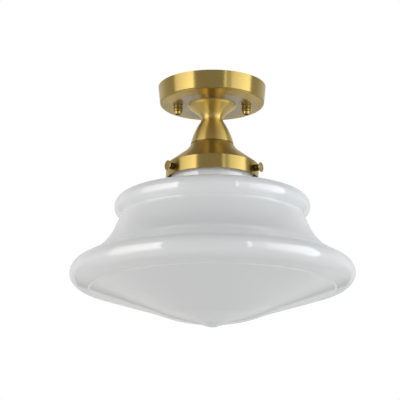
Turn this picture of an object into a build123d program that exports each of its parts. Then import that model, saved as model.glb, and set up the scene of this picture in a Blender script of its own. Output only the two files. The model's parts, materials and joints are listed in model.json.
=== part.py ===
from build123d import *
import math
import os

# A semi flush ceiling light: a round canopy, a waisted two-piece stem, a four inch
# shade holder with three thumb screws, and a stepped opal glass shade round one lamp.
# Lengths are millimetres, +Z is up and the origin is the centre of the ceiling plane,
# so everything hangs at negative Z. Corner lists are (radius, z, corner radius).

# ---- fits and gaps -------------------------------------------------------------
screw_play = 0.05           # radial play of a screw, stud or pipe in its hole
hole_play = 0.3             # radial play of a plain clearance hole
soft_gap = 0.3              # gap where glass, nylon or a contact only just meets
cut_past = 1.0              # how far a cutting shape runs past what it cuts
run_share = 0.99            # the most of a straight run that the rounds at its ends take up

# ---- canopy ----------------------------------------------------------------------
canopy_rim_radius = 60.5
canopy_side_height = 19.7
canopy_side_draft = 1.9     # the side is this much narrower at its lower edge
canopy_roll_width = 13.6    # of the rolled ring between that edge and the flat face
canopy_roll_depth = 2.3     # the face lies this far below the lower edge of the side
canopy_edge_round = 0.9
canopy_wall = 1.2

# ---- mounting plate, studs and the two knurled nuts ------------------------------
plate_thickness = 2.0
plate_arm_width = 18.0
plate_end_margin = 4.0      # metal left beyond a slot or a stud hole
box_screw_near = 69.85      # closest and widest spacing of the ceiling box screws
box_screw_far = 88.9
box_slot_radius = 2.3
wire_hole_radius = 6.35
stud_inset = 6.6            # of each stud from the edge of the flat face
stud_radius = 2.0
stud_engagement = 6.2       # stud length inside the knurled nut
stud_nut_width = 7.0
stud_nut_height = 3.2
nut_radius = 5.0
nut_barrel_height = 5.4
nut_nose_radius = 3.8
nut_nose_height = 3.6
nut_nose_round = 1.3
knurl_depth = 0.35
knurl_pitch = 1.1
nut_washer_radius = 4.6
nut_washer_thickness = 0.8

# ---- earth connection inside the canopy -----------------------------------------
earth_screw_place = 22.0    # from the axis, along the -Y arm of the plate
earth_screw_radius = 1.75
earth_head_radius = 3.6
earth_head_height = 2.2
earth_wire_radius = 0.8
earth_bend_radius = 4.0
lug_thickness = 0.8
lug_margin = 3.0            # width of a lug's ring

# ---- threaded pipe and its fixings -----------------------------------------------
pipe_radius = 5.0
pipe_wall = 1.1
pipe_stickout = 2.0         # above the canopy lock nut
lock_nut_width = 14.0
lock_nut_height = 3.5
lock_washer_radius = 8.2
lock_washer_thickness = 1.0
bushing_wall = 0.6
bushing_length = 4.0
bushing_flange_thickness = 1.0

# ---- stem ------------------------------------------------------------------------
flare_radius = 27.6
flare_edge = 0.7
throat_radius = 11.8        # where the two stem pieces meet
flare_waist_radius = 17.0   # halfway down the trumpet
flare_waist_drop = 8.6
flare_waist_round = 30.0
throat_lead = 0.6           # the flare is this much wider at the foot of its curve
flare_curve_drop = 13.6     # from the canopy face to the corner of the flare's curve
flare_curve_radius = 10.0
upper_stem_height = 17.0
upper_stem_wall = 1.8
upper_stem_plug = 5.0
bell_neck_step = 0.8        # the bell is this much wider than the throat
bell_neck_height = 2.0
bell_neck_round = 4.0
bell_waist_radius = 20.6
bell_waist_drop = 14.0
bell_curve_radius = 60.0
bell_rim_radius = 24.2
bell_height = 28.4
bell_wall = 1.5
bell_top = 2.5

# ---- shade holder (four inch fitter) ---------------------------------------------
fitter_bore_radius = 50.8
fitter_wall = 0.8
collar_radius = 23.9
collar_foot_radius = 28.2
collar_height = 7.6
collar_curve_radius = 18.0
cone_height = 17.5
band_height = 15.6
band_round = 1.2

# ---- thumb screws ----------------------------------------------------------------
shade_screw_bearing = 214.2  # of the left screw, from +X towards +Y
shade_screw_rise = 7.1      # axis above the lower edge of the band
shade_screw_radius = 2.0
boss_radius = 3.8
boss_height = 4.4
boss_spigot_wall = 0.9
boss_spigot_reach = 0.5
screw_head_radius = 4.9
screw_head_thickness = 1.6
screw_head_dish = 0.4
screw_head_dish_radius = 3.3
screw_shoulder_radius = 3.0
screw_shoulder_height = 1.0
screw_grip = 0.6            # thread still showing between boss and shoulder
tip_length = 2.0
tip_undercut = 0.15         # the tip is this much slimmer than the thread
pilot_radius = 1.0
pilot_length = 1.2

# ---- glass shade -----------------------------------------------------------------
# Each corner of the outer skin has a step out (or in) and a fall from the corner before it,
# and a round.
glass_wall = 3.0
neck_clearance = 4.8        # round the neck, inside the holder's bore
neck_round = 5.0
lip_reach = 3.2             # how far the lip stands out from the neck
lip_height = 3.6
lip_round = 1.2
lip_above_screw = 0.8       # gap between the top of a screw tip and the lip
neck_drop = 10.4            # from the holder's lower edge to the foot of the neck
shoulder_step = 63.7
shoulder_fall = 13.9
shoulder_round = 10.5
bead_step = -2.1
bead_fall = 13.2
bead_round = 7.0
notch_step = -6.1
notch_fall = 5.8
notch_round = 0.6
cove_step = 14.9
cove_fall = 35.8
cove_round = 60.0
rim_top_step = 41.2
rim_top_fall = 22.4
rim_top_round = 13.0
rim_low_step = -3.0
rim_low_fall = 18.0
rim_low_round = 13.5
crease_step = -21.4
crease_fall = 5.9
crease_round = 1.5
bowl_step = -61.2
bowl_fall = 20.1
bowl_round = 400.0
floor_step = -25.0
floor_fall = 9.6
floor_round = 110.0
centre_step = -36.0         # inside this corner the bowl is level
centre_fall = 7.4
centre_round = 40.0
button_radius = 8.4         # the small moulded button at the lowest point
button_height = 3.1
button_round = 2.8

# ---- lamp holder -----------------------------------------------------------------
strap_gap = 1.1             # between the holder's lock nut and the strap's hub
hub_radius = 7.0
hub_height = 6.0
strap_length = 34.0
strap_width = 12.0
strap_thickness = 1.5
strap_screw_place = 12.0
strap_screw_radius = 1.5
strap_screw_depth = 6.0
strap_head_radius = 2.7
strap_head_height = 1.8
socket_radius = 18.5
socket_round = 2.0
socket_floor = 12.0
socket_depth = 27.0
shell_bore_radius = 13.4
shell_wall = 0.4
shell_setback = 3.0         # of the shell above the foot of the porcelain
shell_web_radius = 8.0
contact_radius = 4.0
contact_height = 1.0
lead_pocket_depth = 5.0
lead_pocket_radius = 3.4

# ---- lamp ------------------------------------------------------------------------
lamp_tip_radius = 4.2
lamp_tip_height = 1.2
lamp_insulator_radius = 9.5
lamp_insulator_height = 3.5
lamp_base_height = 23.0
lamp_wall = 1.2
lamp_collar_radius = 14.0
lamp_collar_height = 6.0
lamp_collar_round = 10.0
lamp_housing_height = 38.0
lamp_radius = 30.0
lamp_board_thickness = 1.6
lamp_dome_height = 42.0
lamp_dome_round = 24.0

# ---- leads -----------------------------------------------------------------------
lead_radius = 1.1
lead_play = 0.2             # of each lead beside the axis
lead_bend_radius = 5.0
lead_headroom = 3.5         # below the mounting plate
lead_splice_across = 11.0
lead_splice_out = 16.0
lead_splice_drop = 5.0
connector_radius = 5.2
connector_end_radius = 3.6
connector_length = 19.0
connector_wall = 1.3

# ---- sizes that follow from others -----------------------------------------------
canopy_edge_radius = canopy_rim_radius - canopy_side_draft
canopy_face_radius = canopy_edge_radius - canopy_roll_width
stud_spacing = 2 * (canopy_face_radius - stud_inset)
pipe_bore_radius = pipe_radius - pipe_wall
pipe_hole_radius = pipe_radius + screw_play
bell_neck_radius = throat_radius + bell_neck_step
band_radius = fitter_bore_radius + fitter_wall
boss_spigot_radius = shade_screw_radius + boss_spigot_wall
tip_radius = shade_screw_radius - tip_undercut
neck_radius = fitter_bore_radius - neck_clearance
lip_radius = neck_radius + lip_reach
shell_height = socket_depth - shell_setback
lead_offset = lead_radius + lead_play

# ---- levels, from the ceiling down -----------------------------------------------
face_z = -canopy_side_height - canopy_roll_depth
canopy_floor_z = face_z + canopy_wall
plate_under_z = -plate_thickness
stud_nut_z = plate_under_z - stud_nut_height
nut_top_z = face_z - nut_washer_thickness
nut_bottom_z = nut_top_z - nut_barrel_height - nut_nose_height
stud_end_z = nut_top_z - stud_engagement
lug_z = canopy_floor_z + lock_washer_thickness
lock_nut_z = lug_z + lug_thickness
pipe_top_z = lock_nut_z + lock_nut_height + pipe_stickout
throat_z = face_z - upper_stem_height
bell_rim_z = throat_z - bell_height
collar_foot_z = bell_rim_z - collar_height
band_top_z = collar_foot_z - cone_height
band_foot_z = band_top_z - band_height
holder_floor_z = bell_rim_z - fitter_wall
holder_nut_z = holder_floor_z - lock_washer_thickness - lock_nut_height
hub_top_z = holder_nut_z - strap_gap
strap_top_z = hub_top_z - hub_height
socket_top_z = strap_top_z - strap_thickness
socket_floor_z = socket_top_z - socket_floor
socket_foot_z = socket_floor_z - socket_depth
shade_screw_z = band_foot_z + shade_screw_rise
lip_foot_z = shade_screw_z + tip_radius + lip_above_screw
lip_top_z = lip_foot_z + lip_height
nodes = {}


# ---- helpers ---------------------------------------------------------------------
def corner(point):
    return (point[0], point[1], point[2] if len(point) > 2 else 0)


def eased(corners, closed):
    """The same corners, with no round larger than the runs beside it can hold."""
    corners = [corner(c) for c in corners]
    count = len(corners)
    runs = [math.dist(c[:2], corners[(i + 1) % count][:2]) for i, c in enumerate(corners)]
    reaches = []
    for i, (r, z, round_radius) in enumerate(corners):
        before, after = corners[i - 1], corners[(i + 1) % count]
        turn = math.atan2(after[1] - z, after[0] - r) - math.atan2(z - before[1], r - before[0])
        turn = abs((turn + math.pi) % (2 * math.pi) - math.pi)
        at_end = not closed and i in (0, count - 1)
        reaches.append(0 if at_end else round_radius * math.tan(turn / 2))
    fitted = []
    for i, (r, z, round_radius) in enumerate(corners):
        here = reaches[i]
        share = min([1.0] + [run_share * run / (here + reach)
                             for run, reach in ((runs[i - 1], reaches[i - 1]),
                                                (runs[i], reaches[(i + 1) % count])) if here])
        fitted.append((r, z, round_radius * share))
    return fitted


def turned(corners):
    """A solid turned about Z from a closed outline of (radius, z, corner radius)."""
    corners = eased(corners, True)
    points = [(r, 0, z) for r, z, _ in corners]
    radii = [c[2] for c in corners]
    if any(radii):
        outline = FilletPolyline(*points, radius=radii, close=True)
    else:
        outline = Polyline(*points, close=True)
    return revolve(make_face(outline), Axis.Z)


def beside(corners, distance):
    """The corners of the line that runs beside another one, on the right of its travel."""
    corners = eased(corners, False)
    steps = []
    for (r0, z0, _), (r1, z1, _) in zip(corners, corners[1:]):
        run = math.hypot(r1 - r0, z1 - z0)
        steps.append(((r1 - r0) / run, (z1 - z0) / run))
    moved = []
    for i, (r, z, round_radius) in enumerate(corners):
        before, after = steps[max(i - 1, 0)], steps[min(i, len(steps) - 1)]
        right = (before[1] + after[1], -before[0] - after[0])
        share = distance / (1 + before[0] * after[0] + before[1] * after[1])
        left_turn = before[0] * after[1] - before[1] * after[0] > 0
        new_round = round_radius + (distance if left_turn else -distance)
        moved.append((r + right[0] * share, z + right[1] * share,
                      max(new_round, 0) if round_radius else 0))
    return moved


def ring(outer, inner, low, high):
    return turned([(inner, low), (outer, low), (outer, high), (inner, high)])


def room(skin, wall, low, high):
    """The hollow inside a turned skin of one wall thickness, between two levels."""
    inside = beside(skin, wall)
    hollow = turned(inside + [(0, inside[-1][1]), (0, inside[0][1])])
    reach = max(r for r, _, _ in inside) + cut_past
    return hollow & rod(reach, low, high)


def rod(radius, low, high, x=0, y=0):
    return Pos(x, y, (low + high) / 2) * Cylinder(radius, high - low)


def hex_nut(width, bore, low, high):
    body = extrude(RegularPolygon(width / 2, 6, major_radius=False), high - low)
    return Pos(0, 0, low) * body - rod(bore, low, high)


def knurled(radius, low, high):
    """A straight-knurled cylinder: an extruded ring of small teeth."""
    count = round(2 * math.pi * radius / knurl_pitch)
    points = []
    for i in range(2 * count):
        angle = math.pi * i / count
        reach = radius - knurl_depth * (i % 2)
        points.append((reach * math.cos(angle), reach * math.sin(angle)))
    return Pos(0, 0, low) * extrude(make_face(Polyline(*points, close=True)), high - low)


def along(origin, direction):
    """The place whose local Z runs from a point in a direction."""
    return Plane(origin=origin, z_dir=direction).location


def tube(points, radii, radius):
    path = FilletPolyline(*points, radius=radii)
    start = Plane(origin=path @ 0, z_dir=path % 0)
    return sweep(start * Circle(radius), path=path)


def keep(name, *solids):
    nodes[name] = solids[0] if len(solids) == 1 else Compound(children=list(solids))


# ---- canopy ----------------------------------------------------------------------
roll_run = canopy_edge_radius - canopy_face_radius
roll_corner_radius = canopy_edge_radius - roll_run / 2
roll_slope = math.atan2(canopy_roll_depth, roll_run / 2)
roll_round = 0.9 * (roll_run / 2) / math.tan(roll_slope / 2)
canopy_skin = [
    (canopy_rim_radius, 0),
    (canopy_edge_radius, -canopy_side_height, canopy_edge_round),
    (roll_corner_radius, face_z, roll_round),
    (pipe_hole_radius, face_z),
]
canopy = turned(canopy_skin + beside(canopy_skin, canopy_wall)[:0:-1]
                + [(canopy_rim_radius - canopy_wall, 0)])
stud_places = [-stud_spacing / 2, stud_spacing / 2]
for x in stud_places:
    canopy -= rod(stud_radius + hole_play, face_z - cut_past, canopy_floor_z + cut_past, x)
keep("canopy", canopy)

# ---- mounting plate --------------------------------------------------------------
slot_place = (box_screw_near + box_screw_far) / 4
slot_length = (box_screw_far - box_screw_near) / 2 + 2 * box_slot_radius
stud_arm = stud_spacing + 2 * (stud_radius + plate_end_margin)
slot_arm = 2 * (slot_place + slot_length / 2 + plate_end_margin)
plate_face = SlotOverall(stud_arm, plate_arm_width)
plate_face += SlotOverall(slot_arm, plate_arm_width, rotation=90)
plate_face -= Circle(wire_hole_radius)
for side in (-1, 1):
    plate_face -= Pos(0, side * slot_place) * SlotOverall(
        slot_length, 2 * box_slot_radius, rotation=90)
    plate_face -= Pos(side * stud_spacing / 2, 0) * Circle(stud_radius + screw_play)
plate_face -= Pos(0, -earth_screw_place) * Circle(earth_screw_radius + screw_play)
keep("mounting_plate", Pos(0, 0, plate_under_z) * extrude(plate_face, plate_thickness))

# ---- studs, lock nuts, washers and knurled nuts ----------------------------------
keep("canopy_studs", *[rod(stud_radius, stud_end_z, 0, x) for x in stud_places])
stud_nut = hex_nut(stud_nut_width, stud_radius + screw_play, stud_nut_z, plate_under_z)
keep("stud_lock_nuts", *[Pos(x, 0, 0) * stud_nut for x in stud_places])
nut_washer = ring(nut_washer_radius, stud_radius + hole_play, nut_top_z, face_z)
nut_nose = turned([
    (0, nut_bottom_z),
    (nut_nose_radius, nut_bottom_z, nut_nose_round),
    (nut_nose_radius, nut_bottom_z + nut_nose_height),
    (0, nut_bottom_z + nut_nose_height),
])
canopy_nut = nut_nose + knurled(nut_radius, nut_bottom_z + nut_nose_height, nut_top_z)
canopy_nut -= rod(stud_radius + screw_play, nut_bottom_z - cut_past, nut_top_z + cut_past)
for side, x in zip(("left", "right"), stud_places):
    keep("nut_washer_" + side, Pos(x, 0, 0) * nut_washer)
    keep("canopy_nut_" + side, Pos(x, 0, 0) * canopy_nut)

# ---- earth screw and wire --------------------------------------------------------
earth_lug_z = plate_under_z - lug_thickness
earth_screw = rod(earth_head_radius, earth_lug_z - earth_head_height, earth_lug_z)
earth_screw += rod(earth_screw_radius, earth_lug_z, 0)
keep("earth_screw", Pos(0, -earth_screw_place, 0) * earth_screw)
pipe_lug = ring(pipe_radius + lug_margin, pipe_hole_radius, lug_z, lug_z + lug_thickness)
screw_lug = ring(earth_screw_radius + lug_margin, earth_screw_radius + screw_play,
                 earth_lug_z, plate_under_z)
wire_turn = earth_screw_place + earth_head_radius + 2 * earth_bend_radius
wire_foot_z = lug_z + lug_thickness / 2
wire_head_z = plate_under_z - lug_thickness / 2 - earth_wire_radius / 2
earth_wire = tube(
    [
        (0, -pipe_radius - lug_margin / 2, wire_foot_z + earth_wire_radius / 2),
        (0, -wire_turn, wire_foot_z + earth_wire_radius / 2),
        (0, -wire_turn, wire_head_z),
        (0, -earth_screw_place - earth_head_radius - hole_play, wire_head_z),
    ],
    [earth_bend_radius, earth_bend_radius], earth_wire_radius)
earth_wire -= rod(pipe_radius + lug_margin + cut_past, lug_z + lug_thickness, 0)
keep("earth_wire", earth_wire + pipe_lug + Pos(0, -earth_screw_place, 0) * screw_lug)

# ---- threaded pipe, lock nuts, washers and bushing -------------------------------
keep("stem_pipe", ring(pipe_radius, pipe_bore_radius, socket_top_z, pipe_top_z))
keep("canopy_lock_washer",
     ring(lock_washer_radius, pipe_hole_radius, canopy_floor_z, lug_z))
keep("canopy_lock_nut",
     hex_nut(lock_nut_width, pipe_hole_radius, lock_nut_z, lock_nut_z + lock_nut_height))
bushing_radius = pipe_bore_radius - screw_play
bushing_bore = bushing_radius - bushing_wall
bushing = ring(bushing_radius, bushing_bore, pipe_top_z - bushing_length, pipe_top_z)
bushing += ring(pipe_radius, bushing_bore, pipe_top_z,
                pipe_top_z + bushing_flange_thickness)
keep("pipe_bushing", bushing)
keep("holder_lock_washer", ring(lock_washer_radius, pipe_hole_radius,
                                holder_floor_z - lock_washer_thickness, holder_floor_z))
keep("holder_lock_nut", hex_nut(lock_nut_width, pipe_hole_radius, holder_nut_z,
                                holder_nut_z + lock_nut_height))

# ---- stem ------------------------------------------------------------------------
flare_skin = [
    (flare_radius, face_z - flare_edge),
    (flare_waist_radius, face_z - flare_waist_drop, flare_waist_round),
    (throat_radius + throat_lead, face_z - flare_curve_drop, flare_curve_radius),
    (throat_radius, throat_z),
]
upper_stem = turned([(pipe_hole_radius, face_z), (flare_radius, face_z)] + flare_skin
                    + [(pipe_hole_radius, throat_z)])
upper_stem -= room(flare_skin, upper_stem_wall, throat_z + upper_stem_plug, face_z)
keep("upper_stem", upper_stem)
bell_skin = [
    (bell_neck_radius, throat_z),
    (bell_neck_radius, throat_z - bell_neck_height, bell_neck_round),
    (bell_waist_radius, throat_z - bell_waist_drop, bell_curve_radius),
    (bell_rim_radius, bell_rim_z),
]
lower_stem = turned([(pipe_hole_radius, throat_z)] + bell_skin
                    + [(pipe_hole_radius, bell_rim_z)])
lower_stem -= room(bell_skin, bell_wall, bell_rim_z - bell_wall, throat_z - bell_top)
keep("lower_stem", lower_stem)

# ---- shade holder ----------------------------------------------------------------
holder_skin = [
    (collar_radius, bell_rim_z),
    (collar_foot_radius, collar_foot_z, collar_curve_radius),
    (band_radius, band_top_z, band_round),
    (band_radius, band_foot_z),
]
shade_holder = turned([(pipe_hole_radius, bell_rim_z)] + holder_skin
                      + [(pipe_hole_radius, band_foot_z)])
shade_holder -= room(holder_skin, fitter_wall, band_foot_z, holder_floor_z)

# ---- thumb screws, their bosses and soft tips ------------------------------------
# Each is made along +Z from the axis of the light, then laid down on its bearing.
tip_start = neck_radius + soft_gap
tip_end = tip_start + tip_length
boss_end = band_radius + boss_height
shoulder_start = boss_end + screw_grip
head_start = shoulder_start + screw_shoulder_height
head_end = head_start + screw_head_thickness
screw = rod(shade_screw_radius, tip_end, shoulder_start)
screw += rod(pilot_radius, tip_end - pilot_length, tip_end)
screw += rod(screw_shoulder_radius, shoulder_start, head_start)
screw += knurled(screw_head_radius, head_start, head_end)
screw -= rod(screw_head_dish_radius, head_end - screw_head_dish, head_end + cut_past)
tip = rod(tip_radius, tip_start, tip_end)
tip -= rod(pilot_radius + screw_play, tip_end - pilot_length - soft_gap, tip_end + cut_past)
band_outside = rod(band_radius, band_foot_z, band_top_z)
spigot_start = fitter_bore_radius - boss_spigot_reach
flange = rod(boss_radius, fitter_bore_radius, boss_end)
spigot = rod(boss_spigot_radius, spigot_start, boss_end)
spigot_hole = rod(boss_spigot_radius + screw_play, spigot_start - cut_past,
                  band_radius + cut_past)
screw_hole = rod(shade_screw_radius + screw_play, spigot_start - cut_past,
                 boss_end + cut_past)
bosses = []
for i, side in enumerate(("left", "right", "back")):
    bearing = math.radians(shade_screw_bearing + 120 * i)
    laid = along((0, 0, shade_screw_z), (math.cos(bearing), math.sin(bearing), 0))
    shade_holder -= laid * spigot_hole
    bosses.append(laid * flange - band_outside + laid * spigot - laid * screw_hole)
    keep("shade_screw_" + side, laid * screw)
    keep("screw_tip_" + side, laid * tip)
keep("shade_holder", shade_holder)
keep("screw_bosses", *bosses)

# ---- glass shade -----------------------------------------------------------------
glass_skin = [(neck_radius, lip_top_z), (neck_radius, band_foot_z - neck_drop, neck_round)]
for step, fall, rounding in (
        (shoulder_step, shoulder_fall, shoulder_round),
        (bead_step, bead_fall, bead_round),
        (notch_step, notch_fall, notch_round),
        (cove_step, cove_fall, cove_round),
        (rim_top_step, rim_top_fall, rim_top_round),
        (rim_low_step, rim_low_fall, rim_low_round),
        (crease_step, crease_fall, crease_round),
        (bowl_step, bowl_fall, bowl_round),
        (floor_step, floor_fall, floor_round),
        (centre_step, centre_fall, centre_round)):
    before = glass_skin[-1]
    glass_skin.append((before[0] + step, before[1] - fall, rounding))
centre_z = glass_skin[-1][1]
glass_skin.append((0, centre_z))
glass_inside = beside(glass_skin, glass_wall)
lip = [
    (lip_radius, lip_top_z, lip_round),
    (lip_radius, lip_foot_z, lip_round),
    (neck_radius, lip_foot_z, lip_round),
]
button = [
    (0, centre_z - button_height),
    (button_radius, centre_z - button_height, button_round),
    (button_radius + button_height, centre_z + glass_wall / 2),
    (0, centre_z + glass_wall / 2),
]
glass_shade = turned(lip + glass_skin[1:] + glass_inside[::-1])
keep("glass_shade", glass_shade + turned(button))

# ---- lamp holder -----------------------------------------------------------------
strap = Pos(0, 0, socket_top_z) * extrude(SlotOverall(strap_length, strap_width),
                                          strap_thickness)
strap += rod(hub_radius, socket_top_z, hub_top_z)
strap -= rod(pipe_hole_radius, socket_top_z - cut_past, hub_top_z + cut_past)
socket_body = turned([
    (lead_pocket_radius, socket_top_z),
    (socket_radius, socket_top_z, socket_round),
    (socket_radius, socket_foot_z),
    (shell_bore_radius + shell_wall + screw_play, socket_foot_z),
    (shell_bore_radius + shell_wall + screw_play, socket_floor_z),
    (0, socket_floor_z),
    (0, socket_top_z - lead_pocket_depth),
    (lead_pocket_radius, socket_top_z - lead_pocket_depth),
])
strap_screw = rod(strap_head_radius, strap_top_z, strap_top_z + strap_head_height)
strap_screw += rod(strap_screw_radius, strap_top_z - strap_screw_depth, strap_top_z)
strap_places = (-strap_screw_place, strap_screw_place)
for x in strap_places:
    hole = rod(strap_screw_radius + screw_play, strap_top_z - strap_screw_depth,
               strap_top_z + cut_past, x)
    strap -= hole
    socket_body -= hole
keep("socket_strap", strap)
keep("socket_body", socket_body)
keep("strap_screws", *[Pos(x, 0, 0) * strap_screw for x in strap_places])
shell = rod(shell_bore_radius + shell_wall, socket_floor_z - shell_height, socket_floor_z)
shell -= rod(shell_bore_radius, socket_floor_z - shell_height, socket_floor_z - shell_wall)
shell -= rod(shell_web_radius, socket_floor_z - shell_height, socket_floor_z + cut_past)
keep("socket_shell", shell)
keep("socket_contact", turned([
    (0, socket_floor_z),
    (0, socket_floor_z - contact_height),
    (contact_radius, socket_floor_z - contact_height, contact_height / 2),
    (contact_radius, socket_floor_z),
]))

# ---- lamp ------------------------------------------------------------------------
lamp_top_z = socket_floor_z - contact_height - soft_gap
insulator_z = lamp_top_z - lamp_tip_height
base_top_z = insulator_z - lamp_insulator_height
base_foot_z = base_top_z - lamp_base_height
board_z = base_foot_z - lamp_housing_height
dome_top_z = board_z - lamp_board_thickness
lamp_base_radius = shell_bore_radius - soft_gap
keep("lamp_contact", rod(lamp_tip_radius, insulator_z, lamp_top_z))
keep("lamp_insulator", turned([
    (0, insulator_z),
    (lamp_tip_radius, insulator_z),
    (lamp_insulator_radius, base_top_z),
    (0, base_top_z),
]))
keep("lamp_base", ring(lamp_base_radius, lamp_base_radius - shell_wall, base_foot_z, base_top_z)
     + ring(lamp_base_radius, 0, base_top_z - shell_wall, base_top_z))
housing_skin = [
    (lamp_collar_radius, base_foot_z),
    (lamp_collar_radius, base_foot_z - lamp_collar_height, lamp_collar_round),
    (lamp_radius, board_z),
]
lamp_housing = turned([(0, base_foot_z)] + housing_skin + [(0, board_z)])
lamp_housing -= room(housing_skin, lamp_wall, board_z, base_foot_z - lamp_wall)
keep("lamp_housing", lamp_housing)
keep("lamp_board", rod(lamp_radius, dome_top_z, board_z))
dome_skin = [
    (lamp_radius, dome_top_z),
    (lamp_radius, dome_top_z - lamp_dome_height, lamp_dome_round),
    (0, dome_top_z - lamp_dome_height),
]
keep("lamp_dome", turned(dome_skin + beside(dome_skin, lamp_wall)[::-1]))

# ---- leads and their twist-on connectors -----------------------------------------
lead_foot_z = socket_top_z - lead_pocket_depth
lead_turn_z = plate_under_z - lead_headroom - lead_radius
leads, connectors = {}, []
for colour, side in (("black", 1), ("white", -1)):
    foot = Vector(side * lead_offset, 0, lead_foot_z)
    top = Vector(side * lead_offset, 0, lead_turn_z)
    out = Vector(side * lead_splice_across, lead_splice_out, lead_turn_z)
    mouth = out + Vector(side * lead_splice_across, lead_splice_out, -lead_splice_drop) * 0.5
    heading = (mouth - out).normalized()
    lead_end = mouth + heading * (connector_length - connector_wall)
    leads[colour] = tube([foot, top, out, lead_end],
                         [lead_bend_radius, 2 * lead_bend_radius], lead_radius)
    cone = Pos(0, 0, connector_length / 2) * Cone(
        connector_radius, connector_end_radius, connector_length)
    cone -= rod(lead_radius + screw_play, -cut_past, connector_length - connector_wall)
    connectors.append(along(mouth, heading) * cone)
    keep("lead_" + colour, leads[colour])
keep("wire_connectors", *connectors)

# ---- one file for each piece -----------------------------------------------------
os.makedirs("parts", exist_ok=True)
for name, solid in nodes.items():
    export_step(solid, "parts/" + name + ".step")
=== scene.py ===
import json
import math

import bmesh
import bpy
from mathutils import Matrix, Vector


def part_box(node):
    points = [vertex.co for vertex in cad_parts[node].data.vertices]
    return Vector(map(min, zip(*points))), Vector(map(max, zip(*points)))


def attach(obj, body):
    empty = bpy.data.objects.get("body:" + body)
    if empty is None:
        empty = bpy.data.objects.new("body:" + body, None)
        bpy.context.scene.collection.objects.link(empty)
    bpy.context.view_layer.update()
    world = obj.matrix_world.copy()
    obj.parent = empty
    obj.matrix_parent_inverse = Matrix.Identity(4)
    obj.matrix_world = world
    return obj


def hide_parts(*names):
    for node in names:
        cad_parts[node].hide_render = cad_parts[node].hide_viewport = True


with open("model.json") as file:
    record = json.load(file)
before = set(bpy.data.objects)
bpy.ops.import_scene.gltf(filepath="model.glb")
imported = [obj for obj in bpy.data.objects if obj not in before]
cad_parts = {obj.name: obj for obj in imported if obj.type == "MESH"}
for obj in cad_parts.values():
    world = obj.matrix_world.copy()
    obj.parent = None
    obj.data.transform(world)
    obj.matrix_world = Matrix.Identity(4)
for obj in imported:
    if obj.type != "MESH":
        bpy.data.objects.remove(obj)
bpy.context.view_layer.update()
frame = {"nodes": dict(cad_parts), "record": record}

mm = 0.001
nodes = frame["nodes"]
scene = bpy.context.scene
print("frame loaded:", len(nodes), "nodes")


# camera, as the photograph has it
cameraSetup = {
    "place": (-13.6 * mm, -1.7, -586 * mm),
    "pitch": 14.97,        # degrees above the horizon
    "focalLength": 142.86,  # on a 36 mm sensor
}

cameraData = bpy.data.cameras.new("camera")
cameraData.lens = cameraSetup["focalLength"]
cameraData.sensor_width = 36
cameraData.clip_start = 0.05
camera = bpy.data.objects.new("camera", cameraData)
camera.location = cameraSetup["place"]
camera.rotation_euler = (math.radians(90 + cameraSetup["pitch"]), 0, 0)
scene.collection.objects.link(camera)
scene.camera = camera
scene.view_settings.view_transform = "Standard"
print("camera placed")


# shader helpers
class Signal:  # a node's output that takes part in Python sums
    def __init__(self, look, socket):
        self.look = look
        self.socket = socket

    def sum(self, operation, *values):
        return self.look.add("ShaderNodeMath", {"operation": operation}, dict(enumerate(values)))

    def __add__(self, other):
        return self.sum("ADD", self, other)

    def __radd__(self, other):
        return self.sum("ADD", other, self)

    def __sub__(self, other):
        return self.sum("SUBTRACT", self, other)

    def __rsub__(self, other):
        return self.sum("SUBTRACT", other, self)

    def __mul__(self, other):
        return self.sum("MULTIPLY", self, other)

    def __rmul__(self, other):
        return self.sum("MULTIPLY", other, self)

    def __truediv__(self, other):
        return self.sum("DIVIDE", self, other)

    def __pow__(self, other):
        return self.sum("POWER", self, other)


class Look:  # one material and its nodes
    def __init__(self, name):
        self.material = bpy.data.materials.new(name)
        self.material.use_nodes = True
        self.tree = self.material.node_tree
        self.shader = self.tree.nodes["Principled BSDF"]

    def add(self, kind, settings=None, inputs=None, output=0):
        node = self.tree.nodes.new(kind)
        for key, value in (settings or {}).items():
            if key == "stops":
                ramp = node.color_ramp
                while len(ramp.elements) < len(value):
                    ramp.elements.new(1)
                for element, (place, colour) in zip(ramp.elements, value):
                    element.position = place
                    element.color = colour
            else:
                setattr(node, key, value)
        for key, value in (inputs or {}).items():
            self.feed(node.inputs[key], value)
        return Signal(self, node.outputs[output])

    def feed(self, socket, value):
        if isinstance(value, Signal):
            self.tree.links.new(value.socket, socket)
        else:
            socket.default_value = value

    def put(self, **values):
        for key, value in values.items():
            self.feed(self.shader.inputs[key.replace("_", " ")], value)

    def place(self):
        return self.add("ShaderNodeTexCoord", output="Object")

    def parts(self, vector):
        split = self.add("ShaderNodeSeparateXYZ", inputs={0: vector})
        outputs = split.socket.node.outputs
        return [Signal(self, outputs[i]) for i in range(3)]

    def noise(self, vector, scale, detail=2.0, roughness=0.5):
        return self.add("ShaderNodeTexNoise", {"noise_dimensions": "3D"},
                        {"Vector": vector, "Scale": scale, "Detail": detail, "Roughness": roughness})

    def blend(self, share, low, high):
        settings = {"data_type": "RGBA"}
        return self.add("ShaderNodeMix", settings, {0: share, 6: low, 7: high}, output=2)

    def bump(self, height, strength, distance):
        return self.add("ShaderNodeBump", inputs={"Height": height, "Strength": strength,
                                                  "Distance": distance})


def colour(red, green, blue):  # from the 0 to 255 values of a swatch
    def channel(value):
        value = value / 255
        return value / 12.92 if value <= 0.04045 else ((value + 0.055) / 1.055) ** 2.4
    return (channel(red), channel(green), channel(blue), 1.0)


# satin brass, turned and lacquered
brassFinish = {
    "gold": colour(196, 171, 103),
    "deepGold": colour(185, 159, 91),
    "roughness": (0.26, 0.32),
    "brushing": 0.95,         # how much the turning marks stretch a highlight
    "linesPerMetre": 5200,
    "lineDepth": 0.0000045,
    "lineStrength": 0.35,
    "tarnishPerMetre": 38.0,
    "paintedReflectionEdge": 4000.0,       # how sharply the painted reflection on the canopy's flat face ends
}


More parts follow.
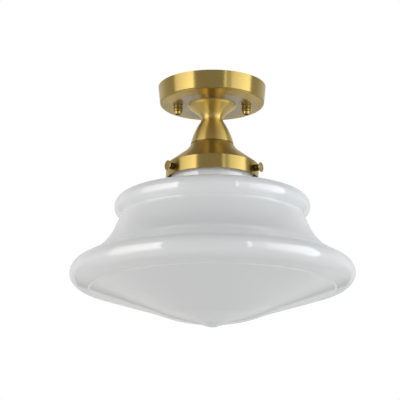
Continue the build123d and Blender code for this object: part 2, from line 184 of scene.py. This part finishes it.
def turnedLines(look, place, scale):
    x, y, z = look.parts(place)
    radius = (x * x + y * y) ** 0.5
    angle = look.add("ShaderNodeMath", {"operation": "ARCTAN2"}, {0: y, 1: x})
    lines = look.add("ShaderNodeCombineXYZ", inputs={0: radius * scale, 1: z * scale, 2: angle * 1.5})
    return look.noise(lines, 1.0, detail=3.0, roughness=0.6)


def makeBrass(name, finish, isTurned=True):
    look = Look(name)
    place = look.place()
    tarnish = look.noise(place, finish["tarnishPerMetre"], detail=4.0)
    if isTurned:
        lines = turnedLines(look, place, finish["linesPerMetre"])
    else:
        lines = look.noise(place, finish["linesPerMetre"] / 4, detail=3.0)
    gold = look.blend(tarnish, finish["deepGold"], finish["gold"])
    if "paintedReflectionFace" in finish:     # inside this radius the flat face is painted paler and greyer: a painted reflection of the pale background it faces
        radius, pale = finish["paintedReflectionFace"]
        edge = finish["paintedReflectionEdge"]
        x, y, z = look.parts(place)
        inside = look.add("ShaderNodeMath", {"operation": "MULTIPLY_ADD", "use_clamp": True},
                          {0: (x * x + y * y) ** 0.5, 1: -edge, 2: radius * edge})
        gold = look.blend(inside, gold, pale)
    low, high = finish["roughness"]
    look.put(Base_Color=gold,
             Metallic=1.0,
             Roughness=low + (high - low) * (lines * 0.6 + tarnish * 0.4),
             Normal=look.bump(lines, finish["lineStrength"], finish["lineDepth"]),
             Anisotropic=finish["brushing"] if isTurned else 0.0,
             Anisotropic_Rotation=0.25)
    return look.material


brass = makeBrass("satinBrass", brassFinish)
# the canopy's brass, with a painted reflection on its flat face
canopyBrassPaintedReflection = makeBrass("satinBrassCanopyPaintedReflection", {**brassFinish, "roughness": (0.24, 0.30),
                                             "paintedReflectionFace": (0.0450, colour(172, 160, 134))})
# a lighter gold than the other brass: painted light, brightening the highlights on the stem's flare and bell
stemBrassPaintedLight = makeBrass("satinBrassStemPaintedLight", {**brassFinish, "roughness": (0.30, 0.36),
                                         "gold": colour(226, 199, 122), "deepGold": colour(214, 185, 107)})
plainBrass = makeBrass("satinBrassSmall", {**brassFinish, "roughness": (0.16, 0.24)}, isTurned=False)
# a dark copy of the brass for the screw bosses: painted shade, standing in for the shade around the thumb screws
paintedShadeBrass = makeBrass("paintedShadeBrass", {**brassFinish, "roughness": (0.28, 0.38), "gold": colour(104, 82, 48),
                                    "deepGold": colour(76, 58, 32)}, isTurned=False)


# opal glass
glassFinish = {
    "white": colour(248, 249, 250),
    "milk": colour(243, 245, 246),
    "roughness": (0.03, 0.06),
    "index": 1.7,
    "gloss": 0.9,
    "waveHeight": 0.00012,    # the slow unevenness of blown glass
    "wavesPerMetre": 16.0,
    "cloudsPerMetre": 9.0,
    "depth": 0.010,           # how far light wanders in the glass, in metres
}


def makeOpal(name, finish):
    look = Look(name)
    place = look.place()
    cloud = look.noise(place, finish["cloudsPerMetre"], detail=2.0)
    wave = look.noise(place, finish["wavesPerMetre"], detail=1.0)
    low, high = finish["roughness"]
    look.put(Base_Color=look.blend(cloud, finish["milk"], finish["white"]),
             Roughness=low + (high - low) * cloud,
             IOR=finish["index"],
             Specular_IOR_Level=finish["gloss"],
             Normal=look.bump(wave, 0.5, finish["waveHeight"]),
             Subsurface_Weight=0.25,
             Subsurface_Radius=[finish["depth"]] * 3,
             Subsurface_Scale=1.0)
    return look.material


opal = makeOpal("opalGlass", glassFinish)


# the finishes of the inner pieces
plainFinishes = {   # two shades, metallic, roughness, speckle per metre, bump height
    "zinc_steel": (colour(190, 190, 186), colour(160, 162, 160), 1.0, (0.28, 0.42), 260, 0.00002),
    "green_steel": (colour(66, 128, 74), colour(44, 98, 56), 0.8, (0.30, 0.42), 300, 0.00002),
    "copper": (colour(214, 142, 108), colour(186, 112, 80), 1.0, (0.22, 0.34), 400, 0.00002),
    "black_plastic": (colour(34, 34, 36), colour(24, 24, 25), 0.0, (0.42, 0.55), 900, 0.00002),
    "nylon": (colour(238, 236, 226), colour(228, 225, 214), 0.0, (0.35, 0.45), 900, 0.00001),
    "porcelain": (colour(240, 238, 230), colour(232, 229, 219), 0.0, (0.10, 0.18), 120, 0.00006),
    "nickel_brass": (colour(206, 200, 190), colour(186, 178, 166), 1.0, (0.16, 0.26), 300, 0.00001),
    "solder": (colour(176, 176, 178), colour(150, 150, 152), 1.0, (0.30, 0.45), 500, 0.00005),
    "black_glass": (colour(20, 20, 26), colour(12, 12, 18), 0.0, (0.05, 0.12), 200, 0.00001),
    "white_plastic": (colour(240, 240, 238), colour(234, 234, 231), 0.0, (0.28, 0.36), 1200, 0.00001),
    "board_aluminium": (colour(236, 236, 232), colour(222, 222, 220), 0.2, (0.35, 0.45), 500, 0.00001),
    "frosted_plastic": (colour(246, 246, 242), colour(240, 240, 235), 0.0, (0.48, 0.60), 1500, 0.00002),
    "black_lead": (colour(30, 30, 31), colour(20, 20, 21), 0.0, (0.30, 0.40), 700, 0.00001),
    "white_lead": (colour(236, 236, 230), colour(226, 226, 219), 0.0, (0.30, 0.40), 700, 0.00001),
    "orange_plastic": (colour(226, 120, 34), colour(210, 104, 24), 0.0, (0.32, 0.42), 900, 0.00002),
}


def makePlain(name, light, dark, metallic, roughness, speckle, height):
    look = Look(name)
    place = look.place()
    grain = look.noise(place, speckle, detail=3.0)
    patch = look.noise(place, speckle / 12, detail=2.0)
    low, high = roughness
    look.put(Base_Color=look.blend(patch, dark, light),
             Metallic=metallic,
             Roughness=low + (high - low) * (grain * 0.5 + patch * 0.5),
             Normal=look.bump(grain, 0.4, height))
    return look.material


finishes = {slot: makePlain(slot, *values) for slot, values in plainFinishes.items()}
finishes["satin_brass"] = brass
finishes["opal_glass"] = opal
for part in frame["record"]["subparts"]:
    node = nodes[part["node"]]
    node.data.materials.clear()
    node.data.materials.append(finishes[part["material_slot"]])
print("finishes made:", len(finishes))


# turning, knurling and fitting of pieces
turnSteps = 224
arcStep = math.radians(6)     # a round gets one segment for each of these


def outline(corners, isClosed):  # a wire of (radius, height, round) corners, with its rounds cut
    bm = bmesh.new()
    verts = [bm.verts.new((c[0] * mm, 0, c[1] * mm)) for c in corners]
    count = len(verts)
    for i in range(count if isClosed else count - 1):
        bm.edges.new((verts[i], verts[(i + 1) % count]))
    for i, vert in enumerate(verts):
        if len(corners[i]) < 3:
            continue
        before = (vert.co - Vector((corners[i - 1][0], 0, corners[i - 1][1])) * mm).normalized()
        ahead = corners[(i + 1) % count]
        after = (Vector((ahead[0], 0, ahead[1])) * mm - vert.co).normalized()
        bend = before.angle(after)
        bmesh.ops.bevel(bm, geom=[vert], offset=corners[i][2] * mm * math.tan(bend / 2),
                        offset_type="OFFSET", segments=max(2, round(bend / arcStep)),
                        profile=0.5, affect="VERTICES", material=-1)
    return bm


def turned(corners, isClosed=False, steps=turnSteps):
    bm = outline(corners, isClosed)
    bmesh.ops.spin(bm, geom=bm.verts[:] + bm.edges[:], cent=(0, 0, 0), axis=(0, 0, 1),
                   dvec=(0, 0, 0), angle=2 * math.pi, steps=steps, use_merge=True,
                   use_duplicate=False)
    bmesh.ops.remove_doubles(bm, verts=bm.verts, dist=0.002 * mm)
    bmesh.ops.dissolve_degenerate(bm, dist=0.001 * mm, edges=bm.edges)
    bmesh.ops.recalc_face_normals(bm, faces=bm.faces)
    return bm


def joined(*meshes):
    whole = bmesh.new()
    for bm in meshes:
        part = bpy.data.meshes.new("part")
        bm.to_mesh(part)
        bm.free()
        whole.from_mesh(part)
        bpy.data.meshes.remove(part)
    return whole


# makes the piece, gives it its finish and puts it in the place of a node
def fitted(name, bm, material, node, wall=0, sharp=38):
    mesh = bpy.data.meshes.new(name)
    bm.to_mesh(mesh)
    bm.free()
    mesh.shade_smooth()
    mesh.set_sharp_from_angle(angle=math.radians(sharp))
    mesh.materials.append(material)
    piece = bpy.data.objects.new(name, mesh)
    scene.collection.objects.link(piece)
    if wall:
        skin = piece.modifiers.new("wall", "SOLIDIFY")
        skin.thickness = wall * mm
        skin.offset = -1
        skin.use_even_offset = True
    shading = piece.modifiers.new("shading", "WEIGHTED_NORMAL")
    shading.keep_sharp = True
    shading.weight = 70
    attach(piece, bodyOf[node])
    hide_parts(node)
    return piece


bodyOf = {n: body for body, members in frame["record"]["behaviour"]["bodies"].items() for n in members}


def boxOf(node):
    low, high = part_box(node)
    return low / mm, high / mm


# canopy
canopyLow, canopyHigh = boxOf("canopy")
canopyShape = {
    "wall": 1.2,
    "sideDraft": 1.9,
    "rollWidth": 13.6,
    "rollDepth": 2.3,
    "rollStep": (0.5, 0.25),         # the fine bevel between the roll and the flat face
    "groove": (0.8, 1.1, 0.6),       # above the edge, depth, below the edge
    "hole": 5.05,
}


def makeCanopy(shape):
    rim = canopyHigh.x
    face = canopyLow.z
    edge = rim - shape["sideDraft"]
    edgeHeight = face + shape["rollDepth"]
    flatRadius = edge - shape["rollWidth"]
    stepWidth, stepHeight = shape["rollStep"]
    above, depth, below = shape["groove"]
    return turned([
        (rim, canopyHigh.z),
        (edge, edgeHeight + above, 0.3),
        (edge - depth, edgeHeight),
        (edge - depth / 2, edgeHeight - below, 0.4),
        (flatRadius + stepWidth, face + stepHeight, 0.1),
        (flatRadius, face, 0.1),
        (shape["hole"], face),
    ])


fitted("canopyPan", makeCanopy(canopyShape), canopyBrassPaintedReflection, "canopy", wall=canopyShape["wall"])
print("canopy made")


# knurled nuts and thumb screws
knurl = {
    "pitch": 1.1,
    "depth": 0.45,
    "chamfer": 0.35,
}


# a drum along Z with straight teeth, chamfered ends and turned grooves
def knurledDrum(radius, low, high, grooves=(), bore=0):
    teeth = round(2 * math.pi * radius / knurl["pitch"])
    valley = radius - knurl["depth"]
    heights = [low, low + knurl["chamfer"]]
    radii = [valley - 0.1, radius]
    for place, width, depth in grooves:
        heights += [place - width / 2, place - width / 4, place + width / 4, place + width / 2]
        radii += [radius, radius - depth, radius - depth, radius]
    heights += [high - knurl["chamfer"], high]
    radii += [radius, valley - 0.1]
    bm = bmesh.new()
    ring = bmesh.ops.create_circle(bm, cap_ends=False, radius=mm, segments=4 * teeth)["verts"]
    bmesh.ops.translate(bm, verts=ring, vec=(0, 0, heights[0] * mm))
    rings = [list(ring)]
    for height in heights[1:]:
        edges = [e for e in bm.edges if all(v in rings[-1] for v in e.verts)]
        made = bmesh.ops.extrude_edge_only(bm, edges=edges)["geom"]
        newRing = [v for v in made if isinstance(v, bmesh.types.BMVert)]
        for vert in newRing:
            vert.co.z = height * mm
        rings.append(newRing)
    for verts, reach in zip(rings, radii):
        for vert in verts:
            angle = math.atan2(vert.co.y, vert.co.x)
            isValley = round(angle / (2 * math.pi) * 4 * teeth) % 4 in (2, 3)
            size = min(reach, valley) if isValley else reach
            vert.co.x = size * mm * math.cos(angle)
            vert.co.y = size * mm * math.sin(angle)
    for verts in (rings[0], rings[-1]):
        edges = [e for e in bm.edges if all(v in verts for v in e.verts)]
        if bore:
            made = bmesh.ops.extrude_edge_only(bm, edges=edges)["geom"]
            for vert in [v for v in made if isinstance(v, bmesh.types.BMVert)]:
                angle = math.atan2(vert.co.y, vert.co.x)
                vert.co.x = bore * mm * math.cos(angle)
                vert.co.y = bore * mm * math.sin(angle)
        else:
            bmesh.ops.contextual_create(bm, geom=edges)
    bmesh.ops.recalc_face_normals(bm, faces=bm.faces)
    return bm


def thread(radius, depth, pitch, low, high, steps=24):  # a V section turned with a rise
    bm = bmesh.new()
    points = [(radius - depth, 0), (radius, pitch * 0.35), (radius, pitch * 0.45), (radius - depth, pitch * 0.8)]
    verts = [bm.verts.new((r * mm, 0, (low + z) * mm)) for r, z in points]
    edges = [bm.edges.new(pair) for pair in zip(verts, verts[1:])]
    turns = (high - low) / pitch - 0.8
    count = max(4, round(steps * turns))
    bmesh.ops.spin(bm, geom=verts + edges, cent=(0, 0, 0), axis=(0, 0, 1),
                   dvec=(0, 0, turns * pitch / count * mm), angle=2 * math.pi * turns,
                   steps=count, use_merge=False, use_duplicate=False)
    bmesh.ops.recalc_face_normals(bm, faces=bm.faces)
    return bm


nutShape = {
    "radius": 5.4,
    "noseRadius": 4.5,
    "tipRadius": 3.9,
    "noseHeight": 3.3,
    "noseRound": 0.5,
    "bore": 2.6,
    "boreChamfer": 0.3,
    "collarHeight": 1.4,      # plain metal above the two knurled rings
    "collarRadius": 5.2,
    "grooveWidth": 0.7,
    "grooveDepth": 0.8,
}


def makeNut(side, shape):
    node = "canopy_nut_" + side
    low, high = boxOf(node)
    middle = (low + high) / 2
    barrelLow = low.z + shape["noseHeight"]
    collarLow = high.z - shape["collarHeight"]
    bore = shape["bore"]
    groove = ((barrelLow + collarLow) / 2, shape["grooveWidth"], shape["grooveDepth"])
    drum = knurledDrum(shape["radius"], barrelLow, collarLow, [groove], bore)
    sleeve = turned([
        (bore, high.z),
        (bore, low.z + shape["boreChamfer"]),
        (bore + shape["boreChamfer"], low.z),
        (shape["tipRadius"], low.z, shape["noseRound"]),
        (shape["noseRadius"], barrelLow - 0.5, 0.3),
        (shape["noseRadius"] - 0.6, barrelLow),
        (shape["collarRadius"] - 0.8, collarLow),
        (shape["collarRadius"], collarLow + 0.3, 0.2),
        (shape["collarRadius"], high.z, 0.3),
    ], isClosed=True, steps=64)
    nut = joined(drum, sleeve)
    bmesh.ops.translate(nut, verts=nut.verts, vec=(middle.x * mm, 0, 0))
    return fitted("canopyNut" + side.capitalize(), nut, plainBrass, node, sharp=30)


for side in ("left", "right"):
    makeNut(side, nutShape)

screwShape = {
    "headRadius": 5.5,
    "headThickness": 1.8,
    "dishRadius": 3.7,
    "dishDepth": 0.4,
    "shoulderRadius": 3.0,
    "shoulderHeight": 1.0,
    "threadRadius": 2.0,
    "threadDepth": 0.35,
    "threadPitch": 0.7,
    "reach": 60.0,            # of the head's face from the axis of the light
    "start": 48.3,
}
bossShape = {
    "radius": 3.8,
    "bore": 2.1,
    "reach": 56.0,
    "sunk": 50.9,
    "round": 0.5,
}
bearings = {"left": 214.2, "right": 334.2, "back": 94.2}   # degrees from +X towards +Y


def laidOut(bm, side):  # turns what was made along Z onto its bearing
    low, high = boxOf("shade_screw_" + side)
    bearing = math.radians(bearings[side])
    way = Vector((math.cos(bearing), math.sin(bearing), 0))
    turn = way.to_track_quat("Z", "Y").to_matrix().to_4x4()
    lift = Matrix.Translation((0, 0, (low.z + high.z) / 2 * mm))
    bmesh.ops.transform(bm, matrix=lift @ turn, verts=bm.verts)
    return bm


def makeThumbScrew(side, shape):
    face = shape["reach"]
    headLow = face - shape["headThickness"]
    shoulderLow = headLow - shape["shoulderHeight"]
    head = knurledDrum(shape["headRadius"], headLow, face, bore=shape["dishRadius"])
    dish = turned([
        (0, face - shape["dishDepth"]),
        (shape["dishRadius"], face - shape["dishDepth"], 0.2),
        (shape["dishRadius"], face),
    ], steps=48)
    core = shape["threadRadius"] - shape["threadDepth"]
    stem = turned([
        (0, shape["start"]),
        (core, shape["start"], 0.3),
        (core, shoulderLow),
        (shape["shoulderRadius"], shoulderLow, 0.3),
        (shape["shoulderRadius"], headLow, 0.2),
        (shape["dishRadius"], headLow),
    ], steps=48)
    ridge = thread(shape["threadRadius"], shape["threadDepth"] + 0.05, shape["threadPitch"],
                   shape["start"] + 0.3, shoulderLow)
    screw = laidOut(joined(head, dish, stem, ridge), side)
    return fitted("thumbScrew" + side.capitalize(), screw, plainBrass, "shade_screw_" + side,
                  sharp=30)


def makeBoss(side, shape):
    boss = turned([
        (shape["bore"], shape["sunk"]),
        (shape["radius"], shape["sunk"]),
        (shape["radius"], shape["reach"], shape["round"]),
        (shape["bore"] + 0.3, shape["reach"]),
        (shape["bore"], shape["reach"] - 0.3),
    ], isClosed=True, steps=48)
    return laidOut(boss, side)


for side in bearings:
    makeThumbScrew(side, screwShape)
bosses = joined(*[makeBoss(side, bossShape) for side in bearings])
# the bosses take the dark copy of the brass, which paints their shade
fitted("screwBosses", bosses, paintedShadeBrass, "screw_bosses", sharp=30)
print("nuts, thumb screws and bosses made")


# stem
stemShape = {
    "flareEdge": 0.3,
    "edgeRound": 0.15,
    "flangeWidth": 1.2,        # of the ring that lies on the canopy
    "bellTop": 6.0,            # inner radius of the bell's closed top
    "bellTopRound": 0.4,
    "bellFoot": 2.0,           # width of the ring at the foot of the bell
    "bellFootRound": 0.3,
    "flareWaist": (17.0, 8.6, 30.0),   # radius, drop below the canopy and round
    "throat": 11.8,
    "throatLead": (0.6, 13.6, 10.0),   # wider than the throat, drop and round
    "bellNeck": (12.6, 2.0, 4.0),      # radius, height and round
    "bellWaist": (20.6, 14.0, 60.0),
    "upperWall": 1.8,
    "lowerWall": 1.5,
}


def makeStem(shape):
    low, high = boxOf("upper_stem")
    waist, waistDrop, waistRound = shape["flareWaist"]
    lead, leadDrop, leadRound = shape["throatLead"]
    flare = turned([
        (high.x - shape["flangeWidth"], high.z),
        (high.x, high.z),
        (high.x, high.z - shape["flareEdge"], shape["edgeRound"]),
        (waist, high.z - waistDrop, waistRound),
        (shape["throat"] + lead, high.z - leadDrop, leadRound),
        (shape["throat"], low.z),
    ])
    fitted("stemFlare", flare, stemBrassPaintedLight, "upper_stem", wall=shape["upperWall"])
    low, high = boxOf("lower_stem")
    neck, neckHeight, neckRound = shape["bellNeck"]
    waist, waistDrop, waistRound = shape["bellWaist"]
    bell = turned([
        (shape["bellTop"], high.z),
        (neck, high.z, shape["bellTopRound"]),
        (neck, high.z - neckHeight, neckRound),
        (waist, high.z - waistDrop, waistRound),
        (high.x, low.z, shape["bellFootRound"]),
        (high.x - shape["bellFoot"], low.z),
    ])
    fitted("stemBell", bell, stemBrassPaintedLight, "lower_stem", wall=shape["lowerWall"])


makeStem(stemShape)
print("stem made")


# shade holder
holderShape = {
    "collar": 23.3,
    "collarFoot": 28.2,
    "collarHeight": 7.6,
    "collarRound": 18.0,
    "bandHeight": 15.6,
    "bandRound": 1.2,
    "wall": 0.8,
    "hole": 5.05,
}


def makeHolder(shape):
    low, high = boxOf("shade_holder")
    return turned([
        (shape["hole"], high.z),
        (shape["collar"], high.z, 0.5),
        (shape["collarFoot"], high.z - shape["collarHeight"], shape["collarRound"]),
        (high.x, low.z + shape["bandHeight"], shape["bandRound"]),
        (high.x, low.z),
    ])


fitted("shadeHolder", makeHolder(holderShape), brass, "shade_holder", wall=holderShape["wall"])
print("shade holder made")


# glass shade
shadeShape = {
    "wall": 3.0,
    "lip": (49.2, 3.6, 1.2),      # radius, height and round of the lip
    "neck": (46.0, 5.0),          # radius and round
    "neckLength": 20.15,          # from the foot of the lip to the corner of the neck
    "skin": (                     # steps out, falls and rounds of the corners below the neck
        (63.7, 13.9, 10.5),       # shoulder
        (-2.1, 13.2, 7.0),        # bead
        (-6.1, 5.8, 0.6),         # notch
        (14.9, 35.8, 60.0),       # cove
        (41.2, 22.4, 13.0),       # top of the rim
        (-3.0, 18.0, 13.5),       # foot of the rim
        (-19.4, 4.5, 1.6),        # crease, a fine step
        (-0.9, 1.5, 1.1),
        (-62.3, 20.0, 400.0),     # bowl
        (-25.0, 9.6, 90.0),       # floor
        (-32.0, 6.8, 30.0),       # inside this corner comes the button
        (-5.0, 1.8, 6.0),
        (-5.0, 1.9, 4.0),
    ),
}


def makeShade(shape):
    low, high = boxOf("glass_shade")
    lipRadius, lipHeight, lipRound = shape["lip"]
    neck, neckRound = shape["neck"]
    lipFoot = high.z - lipHeight
    corners = [
        (neck - shape["wall"] + 0.6, high.z),
        (lipRadius, high.z, lipRound),
        (lipRadius, lipFoot, lipRound),
        (neck, lipFoot, lipRound),
        (neck, lipFoot - shape["neckLength"], neckRound),
    ]
    for step, fall, rounding in shape["skin"]:
        radius, height = corners[-1][:2]
        corners.append((radius + step, height - fall, rounding))
    corners.append((0, corners[-1][1]))
    return turned(corners, steps=256)


fitted("opalShade", makeShade(shadeShape), opal, "glass_shade", wall=shadeShape["wall"], sharp=50)
print("glass shade made")


# floor, lights and background
studio = {
    "floorHeight": -0.95,
    "floorSize": 9.0,
    "boxes": (   # azimuths from the camera's side, elevations, brightness at each azimuth, distance, tint
        ((-86, -39), (-31, 29), (0.9, 2.2), 1.7, (1.0, 0.99, 0.97)),
        ((26, 29), (-31, 29), (1.8, 1.8), 1.7, (0.97, 0.99, 1.0)),
        ((29, 41), (-31, 29), (0.35, 0.35), 1.7, (0.97, 0.99, 1.0)),
        ((41, 89), (-31, 29), (1.05, 2.2), 1.7, (0.95, 0.98, 1.0)),
    ),
    "strip": 8.0,                    # degrees of azimuth that one strip of a box covers
    "height": -0.05,                 # of the middle of the boxes
    "world": (   # brightness of the room by height, from straight down to straight up
        (0.0, 0.18), (0.25, 0.28), (0.40, 0.54), (0.55, 0.58), (0.75, 0.30), (1.0, 0.20),
    ),
    "behind": (0.25, 0.85, 0.72),    # the pale wall behind the light, where it starts and ends
    "before": (-0.72, -0.94, 0.40),  # and the darker room in front of it
    "wash": (0, 1.5, 0.5, 22.0),     # a light that only reaches the floor behind, and its watts
}


def makeFloor(setup):
    bm = bmesh.new()
    bmesh.ops.create_grid(bm, x_segments=2, y_segments=2, size=setup["floorSize"] / 2)
    bmesh.ops.translate(bm, verts=bm.verts, vec=(0, 0, setup["floorHeight"]))
    mesh = bpy.data.meshes.new("floor")
    bm.to_mesh(mesh)
    bm.free()
    look = Look("paleFloor")
    look.put(Base_Color=colour(232, 232, 230), Roughness=0.7)
    mesh.materials.append(look.material)
    floor = bpy.data.objects.new("floor", mesh)
    scene.collection.objects.link(floor)


def areaLight(name, width, tall, watts, place, target, tint=(1, 1, 1)):
    light = bpy.data.lights.new(name, "AREA")
    light.shape = "RECTANGLE"
    light.size = width
    light.size_y = tall
    light.energy = watts
    light.color = tint
    lamp = bpy.data.objects.new(name, light)
    lamp.location = place
    lamp.rotation_euler = (Vector(target) - lamp.location).to_track_quat("-Z", "Y").to_euler()
    scene.collection.objects.link(lamp)


def makeLights(setup):
    height = setup["height"]
    for number, ((start, end), (low, high), (first, last), distance, tint) in enumerate(setup["boxes"]):
        count = max(1, round((end - start) / setup["strip"]))
        rise = math.radians((low + high) / 2)
        tall = 2 * distance * math.tan(math.radians(high - low) / 2)
        width = distance * math.cos(rise) * math.radians((end - start) / count)
        for i in range(count):
            share = (i + 0.5) / count
            angle = math.radians(start + (end - start) * share)
            level = first + (last - first) * share
            place = Vector((math.sin(angle) * math.cos(rise), -math.cos(angle) * math.cos(rise),
                            math.sin(rise))) * distance + Vector((0, 0, height))
            areaLight("softBox%d_%d" % (number, i), width, tall, level * math.pi * width * tall,
                      place, (0, 0, height), tint)
    x, y, z, watts = setup["wash"]
    areaLight("floorWash", 2.0, 0.8, watts, (x, y, z), (x, y + 1.2, setup["floorHeight"]))


def makeWorld(setup):
    world = bpy.data.worlds.new("studio")
    scene.world = world
    world.use_nodes = True
    tree = world.node_tree
    room = tree.nodes["Background"]
    place = tree.nodes.new("ShaderNodeTexCoord")
    split = tree.nodes.new("ShaderNodeSeparateXYZ")
    height = tree.nodes.new("ShaderNodeMapRange")
    height.inputs["From Min"].default_value = -1.0
    ramp = tree.nodes.new("ShaderNodeValToRGB")
    sideways = []            # from the room at the sides to the wall behind, and to the wall in front
    for start, end, level in (setup["behind"], setup["before"]):
        share = tree.nodes.new("ShaderNodeMapRange")
        share.interpolation_type = "SMOOTHSTEP"
        share.inputs["From Min"].default_value = start
        share.inputs["From Max"].default_value = end
        mix = tree.nodes.new("ShaderNodeMix")
        mix.data_type = "RGBA"
        mix.inputs[7].default_value = [level] * 3 + [1]
        tree.links.new(split.outputs["Y"], share.inputs["Value"])
        tree.links.new(share.outputs[0], mix.inputs[0])
        sideways.append(mix)
    stops = ramp.color_ramp.elements
    while len(stops) < len(setup["world"]):
        stops.new(1)
    for stop, (spot, level) in zip(stops, setup["world"]):
        stop.position = spot
        stop.color = (level, level, level, 1)
    tree.links.new(place.outputs["Generated"], split.inputs[0])
    tree.links.new(split.outputs["Z"], height.inputs["Value"])
    tree.links.new(height.outputs[0], ramp.inputs[0])
    tree.links.new(ramp.outputs[0], sideways[0].inputs[6])
    tree.links.new(sideways[0].outputs[2], sideways[1].inputs[6])
    tree.links.new(sideways[1].outputs[2], room.inputs["Color"])
    backdrop = tree.nodes.new("ShaderNodeBackground")
    backdrop.inputs["Color"].default_value = (1, 1, 1, 1)
    path = tree.nodes.new("ShaderNodeLightPath")
    mix = tree.nodes.new("ShaderNodeMixShader")
    tree.links.new(path.outputs["Is Camera Ray"], mix.inputs[0])
    tree.links.new(room.outputs[0], mix.inputs[1])
    tree.links.new(backdrop.outputs[0], mix.inputs[2])
    tree.links.new(mix.outputs[0], tree.nodes["World Output"].inputs["Surface"])


makeFloor(studio)
makeLights(studio)
makeWorld(studio)
print("studio made")
